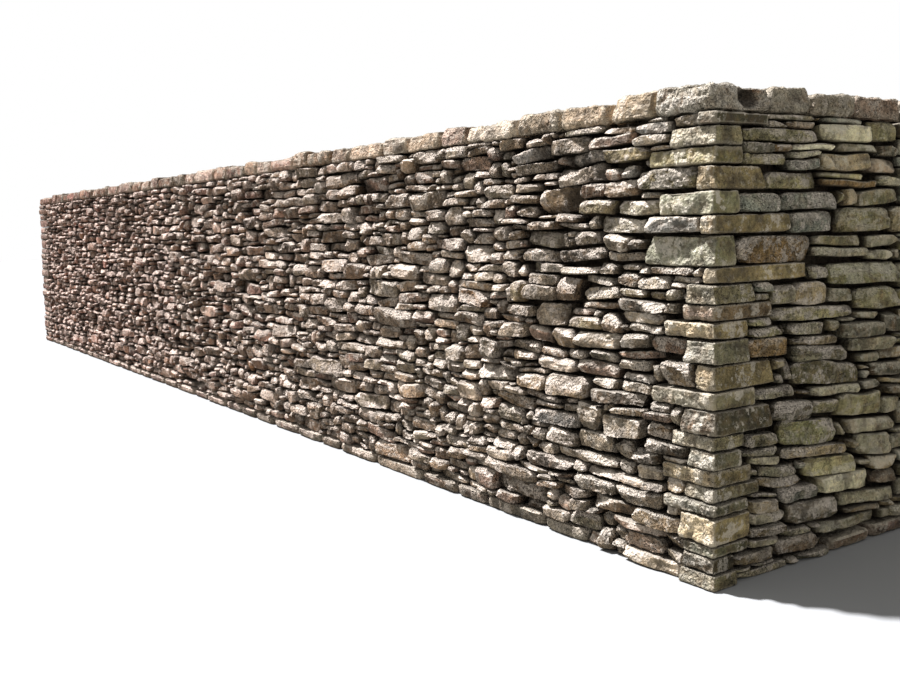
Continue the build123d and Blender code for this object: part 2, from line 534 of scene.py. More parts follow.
def face_planes(half_length, half_height, depth, look, rng):
    """A split face in a few broad planes, with pieces broken off round its edge."""
    face = unit(*(rng.normal(0, lean * look.slant) for lean in FACE_LEAN), 1)
    planes = [through(face, (0, 0, depth))]

    def reach(azimuth):
        return abs(half_length * cos(azimuth)) + abs(half_height * sin(azimuth))

    for middle, least, most in FACETS:
        azimuth = middle + rng.uniform(-FACET_SWING, FACET_SWING)
        tilt = radians(look.slant * rng.uniform(least, most))
        crossing = (rng.uniform(*FACET_START) - look.shoulder * (middle == UP)) * reach(azimuth)
        crossing = max(crossing, reach(azimuth) - DEEPEST_CUT / np.tan(tilt))
        planes.append(facet(azimuth, tilt, crossing, depth))
    for _ in range(look.chips):
        azimuth = rng.uniform(-np.pi, np.pi)
        crossing = max(CHIP_START * reach(azimuth), reach(azimuth) - rng.uniform(0, LARGEST_CHIP))
        planes.append(facet(azimuth, radians(rng.uniform(*look.steepness)), crossing, depth))
    return planes


def walling_planes(half_length, half_height, depth, look, rng):
    """Every plane that bounds the front of a walling stone."""
    planes = side_planes(half_length, half_height, depth, look, rng)
    planes += face_planes(half_length, half_height, depth, look, rng)
    normals, offsets = zip(*planes)
    return np.array(normals), np.maximum(offsets, LEAST_OFFSET * half_height)


EVENNESS = 0.55  # of the steps between a stone's points


def spread(count):
    """Steps from -1 to 1 that draw closer at both ends."""
    even = np.linspace(-1, 1, count + 1)
    return EVENNESS * even + (1 - EVENNESS) * np.sin(even * np.pi / 2)


def grid_border(columns, rows):
    """Numbers of a grid's border points, anticlockwise from the first."""
    wide = columns + 1
    bottom = list(range(columns))
    right = [j * wide + columns for j in range(rows)]
    top = [rows * wide + i for i in range(columns, 0, -1)]
    left = [j * wide for j in range(rows, 0, -1)]
    return np.array(bottom + right + top + left)


def join_rings(lower, upper):
    """Four-sided faces between two rings of points."""
    return np.stack([lower, upper, np.roll(upper, -1), np.roll(lower, -1)], axis=1)


def capped_grid(columns, rows, rings):
    """Faces of a stone with a grid in front, rings behind and one face at its back."""
    wide = columns + 1
    corner = np.add.outer(np.arange(rows) * wide, np.arange(columns)).ravel()
    quads = [np.stack([corner, corner + 1, corner + 1 + wide, corner + wide], axis=1)]
    border = grid_border(columns, rows)
    size = len(border)
    ring = border
    for number in range(rings):
        following = wide * (rows + 1) + number * size + np.arange(size)
        quads.append(join_rings(ring, following))
        ring = following
    return np.concatenate(quads), [ring[::-1]]


class Stone(NamedTuple):
    """One closed stone in the row frame."""

    points: np.ndarray
    quads: np.ndarray
    caps: list
    tint: np.ndarray
    recess: np.ndarray  # 0 on the face to 1 deep in a joint
    arris: np.ndarray  # 0 on a flat to about 0.5 on an edge
    bulge: np.ndarray  # -1 in a hollow to 1 on a bump
    rim: np.ndarray  # 0 on the face to 1 at its joints
    place: tuple  # offset of its patterns


MOST_MIXED = 0.4  # how much of a second colour a stone may have


def pick_tint(tints, contrast, rng):
    """A colour between two of a palette, a little lighter or darker."""
    colours = np.array([colour for colour, _ in tints])
    shares = np.array([share for _, share in tints], float)
    first, second = rng.choice(len(tints), 2, p=shares / shares.sum())
    mixed = colours[first] + rng.uniform(0, MOST_MIXED) * (colours[second] - colours[first])
    return varied(mixed, contrast, rng)


def varied(colour, contrast, rng):
    """A colour a little lighter or darker."""
    return colour * np.exp(rng.normal(0, contrast))


LUMP, CREASE, GRAIN = 0.06, 0.034, 0.011  # widths of a stone's roughness
CREASE_LEVEL = 0.35  # taken off the creases, so that they cut in as much as they stand out
PATTERN_RANGE = 40  # how far apart the places of two stones in the noise may lie
RIM = 0.0055  # how far the dirt and painted shade beside a joint reach onto a face


def roughen(points, outward, place, lumps, grain, share=1.0):
    """Moves points in and out by broad and fine noise, and says where they bulge, from -1 to 1."""
    shifted = points + np.array(place)
    creases = np.abs(noise(shifted / CREASE, 2)) - CREASE_LEVEL
    bulge = noise(shifted / LUMP, 1) + creases
    amount = lumps * bulge + grain * noise(shifted / GRAIN, 3)
    return points + outward * (amount * share)[:, None], bulge


def rim_of(distance):
    """1 at a joint, falling to 0 a little way off."""
    return 1 - np.clip(distance / RIM, 0, 1)


class Facing(NamedTuple):
    """One side of an arm, on which walling stones are laid."""

    arm: Arm
    outer: bool
    look: Look
    fixed: np.ndarray  # near, far, bottom and top of each stone that already has its place

    def out_from(self, height):
        """Distance of this side from the arm's setting-out line, outwards of the stones."""
        return face_at(height) if self.outer else -back_at(height)

    @property
    def out(self):
        return self.arm.outward if self.outer else -self.arm.outward

    @property
    def mirrored(self):
        """True where along, up and out make a left-handed set."""
        return np.cross(self.arm.along, (0, 0, 1)) @ self.out < 0

    def at(self, along, up, out):
        """Row frame points from distances along, up and out from this side."""
        depth = self.out_from(up) + out
        parts = zip((along, up, depth), (self.arm.along, UPWARD, self.out))
        return sum(distance[:, None] * direction for distance, direction in parts)


def oriented(quads, caps, mirrored):
    """Faces turned to look outwards."""
    if mirrored:
        return quads[:, ::-1], [cap[::-1] for cap in caps]
    return quads, caps


STILL = 0.07  # how far from fixed stones the joints begin to wander
WANDER_WIDTHS = ((0.5, 0.28), (0.15, 0.10), (0.13, 0.075))  # along and up: broad, close, aside
SIDES_APART = 7.0  # keeps the noise of the outer side and the back apart


def freedom(facing, along, up):
    """0 beside a stone that has its place, the ground or the cope, rising to 1 a little way off."""
    still = np.minimum(up, cope_bed - up)
    near = facing.fixed[:, 0] < along.max() + STILL
    far = facing.fixed[:, 1] > along.min() - STILL
    for start, end, bottom, top in facing.fixed[near & far]:
        aside = np.maximum(np.maximum(start - along, along - end), 0)
        above = np.maximum(np.maximum(bottom - up, up - top), 0)
        still = np.minimum(still, np.hypot(aside, above))
    return eased(np.clip(still / STILL, 0, 1))


def wander(facing, along, up):
    """How far the joints wander along and up at each point. Neighbours still fit each other."""
    side = np.full(len(along), SIDES_APART * facing.outer)
    broad, close, aside = (
        noise(np.stack([along / length, up / height, side], axis=1), seed)
        for seed, (length, height) in enumerate(WANDER_WIDTHS, start=5)
    )
    free = freedom(facing, along, up)
    return facing.look.sway * free * aside, facing.look.wobble * free * (0.5 * broad + close)


FALL_HEIGHTS = (0, 0.3, 0.9, 1.3, 1.6)
FALLS = (0, 0.10, 0.05, 0.02, 0)  # how much a course of the return falls for each unit of length
FALL_END = 1.4  # the courses run level past this distance from the corner


def fall(facing, along, up):
    """Slope of the courses at a place on a side."""
    if facing.arm.name == "front" or not facing.outer or along > FALL_END:
        return 0
    return float(np.interp(up, FALL_HEIGHTS, FALLS))


MOST_RISE = 0.008  # how far the ends of a stone rise or sink when it is turned on the face


def turn_of(facing, cell, look, rng):
    """How far a stone is turned on the face, in radians. Stones beside fixed ones lie straight."""
    most = 2 * MOST_RISE / (cell.far - cell.near)
    turn = float(np.clip(rng.normal(0, radians(look.turn)), -most, most))
    heights = np.full(2, cell.middle[1])
    return turn * freedom(facing, np.array([cell.near, cell.far]), heights).min()


LIMIT = 0.0012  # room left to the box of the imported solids
FACE_DEPTH = (0.045, 0.06)  # from the middle of a walling stone to its face
TAIL_DEPTH = (0.05, 0.09)  # and to its back
JOINT_SPREAD = (0.1, 1)  # width of a joint, as a share of the widest
MOST_JOINT = 0.2  # a joint takes no more than this share of half a stone
MOST_BACK, MOST_PROUD = -0.03, 0.026  # how far a stone stands back or out at the most
COLUMNS, ROWS = (3, 60), (2, 24)  # least and most on the face of a stone
FINE_SPACING = 0.014  # a stone with points closer than this has one ring more round its sides
FINE_RINGS, COARSE_RINGS = (0.6, 0.15), (0.2,)  # where the rings lie, as shares of the depth
SMALL = 0.03  # a stone is smoother where half its height is less than this
SIDE_ROUGHNESS = 0.3  # of its beds and ends, beside that of its face
TURN_GAIN = 1.6  # how soon a part that turns towards the face is as rough as the face
DRAWN_BACK = (0.9, 0.9, 0)  # size of the flat back inside the last ring
RECESS_START, RECESS_DEPTH = 0.002, 0.045  # the dirt and painted shade of a joint start here, and are darkest so far in
FAR_CONTRAST = 0.38  # how much more the stones differ in colour far from the corner


def half_sizes(cell, look, rng):
    """Half the length and half the height of a stone in its cell, less its joints."""
    half_length, half_height = (cell.far - cell.near) / 2, (cell.top - cell.bottom) / 2
    joint = rng.uniform(*JOINT_SPREAD) * look.joint / 2
    joint = min(joint, MOST_JOINT * half_length, MOST_JOINT * half_height)
    return half_length - joint, half_height - joint


def steps_in(length, spacing, limits):
    return int(np.clip(round(length / spacing), *limits))


def rubble(half_length, half_height, spacing, look, rng):
    """A walling stone before it is laid. Its face looks along +Z, at most as far as z = 0."""
    depth = rng.uniform(*FACE_DEPTH)
    tail = rng.uniform(*TAIL_DEPTH)
    normals, offsets = walling_planes(half_length, half_height, depth, look, rng)
    columns = steps_in(2 * half_length, spacing[0], COLUMNS)
    rows = steps_in(2 * half_height, spacing[1], ROWS)
    across, upward = np.meshgrid(spread(columns) * half_length, spread(rows) * half_height)
    front = np.stack([across.ravel(), upward.ravel(), np.full(across.size, depth)], axis=1)
    border = front[grid_border(columns, rows)]
    shares = FINE_RINGS if spacing[1] < FINE_SPACING else COARSE_RINGS
    rings = [border * (1, 1, share) for share in shares]
    points, outward, arris = carve(np.concatenate([front, *rings]), normals, offsets, look.sharpness)
    place = tuple(rng.uniform(0, PATTERN_RANGE, 3))
    small = min(1.0, half_height / SMALL)
    share = SIDE_ROUGHNESS + (1 - SIDE_ROUGHNESS) * np.clip(TURN_GAIN * outward[:, 2], 0, 1)
    points, bulge = roughen(points, outward, place, look.lumps * small, look.grain * small, share)
    rim = rim_of(np.minimum(half_length - np.abs(points[:, 0]), half_height - np.abs(points[:, 1])))
    last = slice(-len(border), None)
    back = points[last] * DRAWN_BACK - (0, 0, tail)
    points = np.concatenate([points, back]) - (0, 0, depth)
    arris, bulge, rim = (np.concatenate([values, values[last]]) for values in (arris, bulge, rim))
    quads, caps = capped_grid(columns, rows, len(rings) + 1)
    return Stone(points, quads, caps, None, None, arris, bulge, rim, place)


def laid(facing, cell, points, turn):
    """Distances along and up of the points of a stone that is turned and put in its cell."""
    middle, height = cell.middle
    along = middle + points[:, 0] * cos(turn) - points[:, 1] * sin(turn)
    up = height + points[:, 0] * sin(turn) + points[:, 1] * cos(turn)
    aside, above = wander(facing, along, up)
    above = above - fall(facing, middle, height) * points[:, 0]
    return along + aside, np.maximum(up + above, 0)


def walling_stone(facing, cell, tint, spacing, rng):
    """A stone that fills one cell of a facing. spacing is that of its points, along and up."""
    middle, _ = cell.middle
    share_far = farness(facing, middle)
    look = loosened(facing.look, share_far)
    stone = rubble(*half_sizes(cell, look, rng), spacing, look, rng)
    proud = float(np.clip(rng.normal(0, look.unevenness), MOST_BACK, MOST_PROUD))
    along, up = laid(facing, cell, stone.points, turn_of(facing, cell, look, rng))
    out = stone.points[:, 2] + proud
    if facing.outer:
        out = np.minimum(out, float(cad_high.x) - LIMIT - face_at(up))
    quads, caps = oriented(stone.quads, stone.caps, facing.mirrored)
    return stone._replace(
        points=facing.at(along, up, out), quads=quads, caps=caps,
        tint=varied(tint, FAR_CONTRAST * share_far, rng) * look.cast * drift(facing, middle),
        recess=np.clip((RECESS_START - out) / RECESS_DEPTH, 0, 1),
    )


def farness(facing, along):
    """0 at the corner to 1 far along the front."""
    return min(along / FAR, 1) if facing.arm.name == "front" else 0


NEAR_CAST = np.array([1.0, 0.98, 0.96])
FAR_CAST = np.array([1.14, 0.72, 0.73])


def cast_at(along):
    """The front's stones turn from greenish to a darker pink with distance from the corner."""
    share = min(max(along / FAR, 0), 1)
    return (1 - share) * NEAR_CAST + share * FAR_CAST


def drift(facing, along):
    """What the colour of a walling stone is multiplied by."""
    return cast_at(along) if facing.arm.name == "front" else np.ones(3)


def weathered(stone, box):
    """A block with its colour changed like that of the walling beside it."""
    return stone._replace(tint=stone.tint * cast_at(-(box[0][0] + box[1][0]) / 2))


LOOSER = {  # how much more of each there is where the stones are laid most loosely
    "joint": 1.8, "unevenness": 0.6, "slant": 0.4, "turn": 1.5, "lumps": 0.5,
}
MORE_SHOULDER = 0.45  # and how much is added to this


def loosened(look, share):
    """A look with stones laid more or less loosely. share is from 0 to 1."""
    changes = {key: getattr(look, key) * (1 + more * share) for key, more in LOOSER.items()}
    return look._replace(shoulder=look.shoulder + MORE_SHOULDER * share, **changes)


# Squared stones

EDGE_CUT, CORNER_CUT = (0.15, 1.0), (0.3, 1.8)  # sizes of what is broken off, as shares of a chip


def leaning_sides(half, work, rng):
    """A level bed and five sides that slant a little."""
    planes = []
    least = min(half)
    for axis, side in product(range(3), (-1, 1)):
        lean = rng.uniform(-1, 1, 3) * work.slant * least / half
        lean[2] = rng.uniform(work.overhang, 1) * 2 * work.slant * least / half[2]
        if (axis, side) == (2, -1):
            lean[:] = 0
        lean[axis] = side
        normal = unit(*lean)
        reach = np.abs(normal) * half
        planes.append((normal, 2 * reach[axis] - reach.sum()))
    return planes


def broken_edges(half, chip, rng):
    planes = []
    for first, second in combinations(range(3), 2):
        for side_one, side_two in product((-1, 1), repeat=2):
            cut_one, cut_two = chip * rng.uniform(*EDGE_CUT, 2)
            normal, point = np.zeros(3), np.zeros(3)
            normal[[first, second]] = side_one / cut_one, side_two / cut_two
            point[[first, second]] = side_one * (half[first] - cut_one), side_two * half[second]
            planes.append(through(unit(*normal), point))
    return planes


def broken_corners(half, chip, rng):
    planes = []
    for sides in product((-1, 1), repeat=3):
        cuts = chip * rng.uniform(*CORNER_CUT, 3)
        point = np.array(sides) * half
        point[0] -= sides[0] * cuts[0]
        planes.append(through(unit(*(np.array(sides) / cuts)), point))
    return planes


def block_planes(half, work, rng):
    """Every plane that bounds a squared stone."""
    planes = leaning_sides(half, work, rng)
    planes += broken_edges(half, work.chip, rng)
    planes += broken_corners(half, work.chip, rng)
    normals, offsets = zip(*planes)
    return np.array(normals), np.array(offsets)


class Dressing(NamedTuple):
    """How a squared stone is worked."""

    slant: float
    chip: float  # size of its broken edges
    sharpness: float
    lumps: float
    grain: float
    overhang: float  # how far its sides may lean outwards, and from 0 to 1 inwards
    contrast: float
    tints: tuple = ()
    rough_side: tuple = (0, 0, 0)  # the direction whose side is rougher


QUOIN = Dressing(
    slant=0.09, chip=0.015, sharpness=34, lumps=0.0034, grain=0.0014, overhang=-0.5, contrast=0.15,
    rough_side=(0, -1.0, 0),
)
COPE = Dressing(
    slant=0.15, chip=0.034, sharpness=24, lumps=0.0085, grain=0.0030, overhang=0.0, contrast=0.22,
    tints=COPE_TINTS,
)
CAP = COPE._replace(tints=palette(white=2, pale=1), contrast=0.05)
BASE = Dressing(
    slant=0.10, chip=0.016, sharpness=24, lumps=0.0045, grain=0.0022, overhang=-1.0, contrast=0.15,
    tints=BASE_TINTS,
)
END = Dressing(
    slant=0.04, chip=0.006, sharpness=34, lumps=0.004, grain=0.0022, overhang=-1.0, contrast=0.15,
    tints=BACK_TINTS,
)
BED_GAP = 0.0012
ROUGHER = 1.2  # how much rougher the rough side is
DRAWN_IN = (0.8, 0.8, 1)  # size of the flat top or bottom inside its edge


def dressed(box, rings, quads, caps, work, rng, tint=None):
    """A squared stone, carved along directions from the middle of its box, and roughened."""
    low, high = (np.array(corner) for corner in box)
    half = (high - low) / 2 - BED_GAP
    normals, offsets = block_planes(half, work, rng)
    points, outward, arris = carve(np.concatenate(rings) * half, normals, offsets, work.sharpness)
    place = tuple(rng.uniform(0, PATTERN_RANGE, 3))
    rougher = 1 + ROUGHER * np.clip(outward @ np.array(work.rough_side), 0, 1)
    points, bulge = roughen(points, outward, place, work.lumps, work.grain, rougher)
    aside = np.minimum(half[0] + points[:, 0], half[1] - points[:, 1])
    rim = rim_of(np.minimum(half[2] - np.abs(points[:, 2]), aside))
    points = np.clip(points + (low + high) / 2, np.array(cad_low) + LIMIT, np.array(cad_high) - LIMIT)
    if low[2] < BED_GAP:
        points[:, 2] -= points[:, 2].min()
    if tint is None:
        tint = pick_tint(work.tints, work.contrast, rng)
    return Stone(points, quads, caps, tint, np.zeros(len(points)), arris, bulge, rim, place)


def steps_across(box, axis, cell, least):
    """Places of points on a box along an axis, from -1 to 1 and about one cell apart."""
    return spread(max(least, round((box[1][axis] - box[0][axis]) / cell)))


def drum_stone(box, cells, work, rng, tint=None):
    """A squared stone whose upright sides show. cells are the spacings wanted on its -Y, +X, +Y
    and -X sides and upwards."""
    steps = [steps_across(box, axis, cell, 2)[:-1] for axis, cell in zip((0, 1, 0, 1), cells)]
    sides = [
        [(s, -1) for s in steps[0]], [(1, s) for s in steps[1]],
        [(-s, 1) for s in steps[2]], [(-1, -s) for s in steps[3]],
    ]
    around = np.array(sum(sides, []))
    heights = steps_across(box, 2, cells[4], 3)
    rings = [np.column_stack([around, np.full(len(around), z)]) for z in heights]
    rings = [rings[0] * DRAWN_IN, *rings, rings[-1] * DRAWN_IN]
    numbers = np.arange(len(rings) * len(around)).reshape(len(rings), -1)
    quads = np.concatenate([join_rings(upper, lower) for lower, upper in zip(numbers, numbers[1:])])
    return dressed(box, rings, quads, [numbers[0][::-1], numbers[-1]], work, rng, tint)


def flat_stone(box, cell, work, rng):
    """A squared stone whose top and upright sides show."""
    across, inward = np.meshgrid(*(steps_across(box, axis, cell, 4) for axis in (0, 1)))
    top = np.stack([across.ravel(), inward.ravel(), np.ones(across.size)], axis=1)
    rows, columns = (count - 1 for count in across.shape)
    border = top[grid_border(columns, rows)]
    rings = [border * (1, 1, z) for z in -steps_across(box, 2, cell, 2)[1:]]
    rings.append(rings[-1] * DRAWN_IN)
    return dressed(box, [top, *rings], *capped_grid(columns, rows, len(rings)), work, rng)


# Camera: its place and turn come from the straight edges of both faces

CAMERA_AT = Vector((2.708, -3.093, 1.555))
CAMERA_YAW = 56.335  # degrees from +Y towards -X
CAMERA_PITCH = -6.528
CAMERA_ROLL = -1.446
CAMERA_LENS, SENSOR_WIDTH = 39.39, 36  # in millimetres

FINEST, COARSEST = 0.0068, 0.034  # spacing of a stone's points
SPACING = 0.0018  # for each metre from the camera
WIDEST = 1.2 * COARSEST
LEAST_SEEN = 0.3  # points are spaced out along a slanting side no further than this allows
SEEN_RETURN = 1.6  # the view ends before this distance from the corner
UNSEEN = 1.7  # how much wider the spacing is past it


def cell_size_at(point):
    """Spacing of a stone's points: finer near the camera."""
    away = float((Vector(point) - CAMERA_AT).length)
    size = min(max(SPACING * away, FINEST), COARSEST)
    return UNSEEN * size if point[1] > SEEN_RETURN else size


def spacing_at(point, outward):
    """Spacing along and up, wider along where the side is seen at a slant."""
    size = cell_size_at(point)
    seen = (CAMERA_AT - Vector(point)).normalized().dot(Vector(outward))
    return min(size / max(seen, LEAST_SEEN), WIDEST), size


def make_camera():
    data = bpy.data.cameras.new("camera")
    data.sensor_width = SENSOR_WIDTH
    data.lens = CAMERA_LENS
    camera = bpy.data.objects.new("camera", data)
    turn = (
        Matrix.Rotation(radians(CAMERA_YAW), 4, "Z")
        @ Matrix.Rotation(radians(90 + CAMERA_PITCH), 4, "X")
        @ Matrix.Rotation(radians(CAMERA_ROLL), 4, "Z")
    )
    camera.matrix_world = Matrix.Translation(CAMERA_AT) @ turn
    bpy.context.scene.collection.objects.link(camera)
    bpy.context.scene.camera = camera


# Materials

class Graph:
    """The nodes of a material or a world, added one at a time."""

    def __init__(self, owner):
        self.owner = owner
        owner.use_nodes = True
        self.tree = owner.node_tree
        self.tree.nodes.clear()

    def add(self, kind, output=0, inputs=None, **settings):
        """Adds a node, sets it up, and gives one of its outputs."""
        node = self.tree.nodes.new("ShaderNode" + kind)
        for key, value in settings.items():
            setattr(node, key, value)
        for key, value in (inputs or {}).items():
            if isinstance(value, bpy.types.NodeSocket):
                self.tree.links.new(value, node.inputs[key])
            else:
                node.inputs[key].default_value = value
        return None if output is None else node.outputs[output]

    def finish(self, shader, kind="OutputMaterial"):
        """Puts the shader on the surface and gives the material or world."""
        self.add(kind, None, {"Surface": shader})
        return self.owner

    def math(self, operation, first, second=0.0):
        return self.add("Math", inputs={0: first, 1: second}, operation=operation)

    def combine(self, operation, first, second, output=0):
        """Works on two vectors."""
        return self.add("VectorMath", output, inputs={0: first, 1: second}, operation=operation)

    def noise(self, vector, scale, detail, roughness):
        inputs = {"Vector": vector, "Scale": scale, "Detail": detail, "Roughness": roughness}
        return self.add("TexNoise", inputs=inputs)

    def between(self, value, low, high, to_low=0.0, to_high=1.0):
        """Stretches a value from low..high to to_low..to_high, and holds it there."""
        inputs = {"Value": value, "From Min": low, "From Max": high, "To Min": to_low, "To Max": to_high}
        return self.add("MapRange", inputs=inputs)

    def mottle(self, vector, scale, detail, roughness, levels, values):
        """Noise stretched from two levels to two values."""
        return self.between(self.noise(vector, scale, detail, roughness), *levels, *values)

    def mix(self, factor, first, second, blend="MIX"):
        inputs = {0: factor, 6: first, 7: second}
        return self.add("Mix", 2, inputs=inputs, data_type="RGBA", blend_type=blend)

    def grow(self, colour, growth, vector, scale, detail, roughness, levels, strength):
        """A colour with patches of another one."""
        mask = self.mottle(vector, scale, detail, roughness, levels, (0.0, strength))
        return self.mix(mask, colour, growth)

    def towards(self, direction):
        """How much the surface faces in a direction, from -1 to 1."""
        return self.combine("DOT_PRODUCT", self.add("NewGeometry", 1), direction, 1)

    def attribute(self, name, output):
        return self.add("Attribute", output, attribute_name=name)


COLOUR_OUT, VECTOR_OUT, VALUE_OUT = 0, 1, 2
OBJECT_OUT = 3  # of texture coordinates


class Finish(NamedTuple):
    """What grows and stains on a stone, and the painted highlights and shade on it, each from 0 to about 1.
    """

    lichen: float
    moss: float
    rust: float
    relief: float  # strength of the fine bumps
    bleach_and_highlight: float  # how pale the parts are that face a little upwards: bleaching and a painted highlight
    outline: float  # dirt and painted shade beside the joints
    pale: tuple  # colour of its weathered parts and of its painted highlights
    soil_and_shade: float = 0.6  # dark growth, and painted shade that tones down the brightly lit level tops
    algae_and_shade: float = 0.0  # a green film and painted shade on sides that face away from the sun
    earth_and_shade: float = 0.0  # a film of earth and painted shade on the side that is set against the ground, which faces the key light


NEAR_FINISH = Finish(
    lichen=0.8, moss=0.15, rust=0.4, relief=1.5, bleach_and_highlight=0.88, outline=0.35, pale=(0.87, 0.79, 0.71, 1),
)
FAR_FINISH = Finish(
    lichen=1.0, moss=0.1, rust=0.4, relief=2.5, bleach_and_highlight=1.25, outline=0.9, pale=(0.99, 0.78, 0.70, 1),
    soil_and_shade=0.0,
)
FINISHES = {
    "return": Finish(
        lichen=0.5, moss=0.5, rust=0.7, relief=0.8, bleach_and_highlight=0.5, outline=0.85,
        pale=(0.84, 0.80, 0.68, 1), earth_and_shade=1.0,
    ),
    "corner": Finish(
        lichen=0.7, moss=0.25, rust=0.5, relief=1.0, bleach_and_highlight=0.4, outline=0.75,
        pale=(0.86, 0.80, 0.71, 1), algae_and_shade=1.0,
    ),
    "cope": Finish(
        lichen=0.7, moss=0.2, rust=0.8, relief=1.3, bleach_and_highlight=0.3, outline=0.3,
        pale=(0.78, 0.71, 0.62, 1), soil_and_shade=0.7, algae_and_shade=0.3,
    ),
    "cap": Finish(
        lichen=0.9, moss=0.1, rust=1.4, relief=1.2, bleach_and_highlight=0.5, outline=0.2,
        pale=(0.84, 0.79, 0.71, 1), soil_and_shade=0.7,
    ),
}
FRONT_STEPS = 6  # the front's finish changes in so many steps with distance from the corner


def blended(one, other, share):
    """A finish between two others."""
    return Finish(*(
        (1 - share) * np.array(first) + share * np.array(second) for first, second in zip(one, other)
    ))


WARM = (0.42, 0.25, 0.13, 1)
RUST = (0.24, 0.10, 0.035, 1)
MOSS = (0.105, 0.12, 0.04, 1)
ALGAE_AND_SHADE = (0.62, 0.61, 0.45, 1)
STAIN = (0.060, 0.047, 0.037, 1)
SOIL_AND_SHADE = (0.15, 0.14, 0.115, 1)
HOLLOW_SHADE = (0.076, 0.060, 0.046, 1)
WORN = (0.60, 0.54, 0.44, 1)
EARTH_AND_SHADE = (0.76, 0.72, 0.66, 1)
DIRT_AND_SHADE = (0.050, 0.038, 0.027, 1)
OUTLINE_DIRT_AND_SHADE = (0.040, 0.031, 0.023, 1)
# very dark, as painted shade deep in the gaps
HEARTING_DARK, HEARTING_LIGHT = (0.026, 0.019, 0.013, 1), (0.075, 0.058, 0.042, 1)
LICHEN_SHARE = 0.68  # how bright lichen is beside the pale parts
SHADED_SIDE = (1.0, 0, 0)
SUNWARD_EARTH_SIDE = (-1.0, 0, 0)
SKYWARD = (0, 0, 1.0)
BEDDING = (5.0, 5.0, 60.0)  # how fine the pattern of the beds is along, across and up
WARPING = (0.02, 0.02, 0.02)
SPECULAR = 0.3


def mottled(graph, vector, colour):
    """A stone's own colour with blotches, patches, bedding and speckle."""
    beds = graph.combine("MULTIPLY", vector, BEDDING)
    shade = graph.mottle(vector, 11.0, 6.0, 0.62, (0.32, 0.68), (0.45, 1.5))
    for place, scale, detail, roughness, values in (
        (beds, 1.0, 3.0, 0.5, (0.85, 1.15)),
        (vector, 45.0, 4.0, 0.6, (0.72, 1.28)),
        (vector, 260.0, 3.0, 0.7, (0.75, 1.25)),
    ):
        pattern = graph.mottle(place, scale, detail, roughness, (0.3, 0.7), values)
        shade = graph.math("MULTIPLY", shade, pattern)
    grey = graph.add("CombineColor", inputs={0: shade, 1: shade, 2: shade})
    return graph.mix(1.0, colour, grey, "MULTIPLY")


def overgrown(graph, vector, colour, finish):
    """A stone's colour with rust, moss, stains and lichen on it, and a green film with painted shade on the
    sides away from the sun.
    """
    lichen, moss, rust = finish.lichen, finish.moss, finish.rust
    pale = tuple(LICHEN_SHARE * part for part in finish.pale[:3]) + (1,)
    colour = graph.grow(colour, WARM, vector, 22.0, 4.0, 0.55, (0.45, 0.7), 0.35)
    colour = graph.grow(colour, RUST, vector, 9.0, 5.0, 0.65, (0.62 - 0.1 * rust, 0.74), 0.75 * rust)
    colour = graph.grow(colour, MOSS, vector, 12.0, 6.0, 0.7, (0.6 - 0.12 * moss, 0.75), 0.7 * moss)
    # painted shade with a green cast, and a film of algae, on the sides that face away from the sun
    algae_and_shade = graph.between(graph.towards(SHADED_SIDE), 0.3, 0.9, 0.0, finish.algae_and_shade)
    colour = graph.mix(algae_and_shade, colour, ALGAE_AND_SHADE, "MULTIPLY")
    colour = graph.grow(colour, STAIN, vector, 17.0, 6.0, 0.7, (0.42, 0.30), 0.65)
    levels = (0.62 - 0.12 * lichen, 0.66)
    return graph.grow(colour, pale, vector, 34.0, 7.0, 0.75, levels, 0.75 * lichen)


def aged_with_painted_light(graph, vector, own, colour, finish):
    """A stone's colour with pale weathering and painted highlights on bumps and upper parts, dark soil and
    painted shade on level tops, painted shade in hollows, worn edges, earth and painted shade on the
    sunward side, and dirt and painted shade in the joints.
    """
    arris, bulge, recess, rim = (
        graph.attribute(name, VALUE_OUT) for name in ("arris", "bulge", "recess", "rim")
    )
    skyward = graph.towards(SKYWARD)
    ragged = graph.mottle(vector, 60.0, 5.0, 0.7, (0.0, 1.0), (-1.2, 1.2))
    height = graph.math("ADD", graph.math("ADD", bulge, ragged), graph.between(own, 0.0, 1.0, -0.25, 0.15))
    washed_and_lit = graph.math("ADD", skyward, graph.math("MULTIPLY", ragged, 0.25))
    bleach_and_highlight = finish.bleach_and_highlight
    for mask, tone, blend in (
        # pale lichen with a painted highlight on the bumps
        (graph.between(height, 0.46 - 0.2 * bleach_and_highlight, 0.46, 0.0, 0.75 * finish.lichen), finish.pale, "MIX"),
        # painted highlight, with bleaching, on the parts that face a little upwards
        (graph.between(washed_and_lit, 0.3 - 0.27 * bleach_and_highlight, 0.42, 0.0, bleach_and_highlight), finish.pale, "MIX"),
        # dark soil and painted shade on level tops
        (graph.between(skyward, 0.7, 0.93, 0.0, finish.soil_and_shade), SOIL_AND_SHADE, "MIX"),
        # painted shade in the hollows of the face
        (graph.between(height, -0.35, -0.75, 0.0, 0.55), HOLLOW_SHADE, "MIX"),
        (graph.between(arris, 0.2, 0.5, 0.0, 0.4), WORN, "MIX"),
        # earth and painted shade on the sides that face the key light
        (graph.between(graph.towards(SUNWARD_EARTH_SIDE), 0.2, 0.7, 0.0, finish.earth_and_shade), EARTH_AND_SHADE, "MULTIPLY"),
        # dirt and painted shade deep in the joints
        (graph.between(recess, 0.5, 1.0, 0.0, 0.85), DIRT_AND_SHADE, "MIX"),
        # dirt and painted shade on the rim of each face beside its joints
        (graph.math("MULTIPLY", rim, finish.outline), OUTLINE_DIRT_AND_SHADE, "MIX"),
    ):
        colour = graph.mix(mask, colour, tone, blend)
    return colour


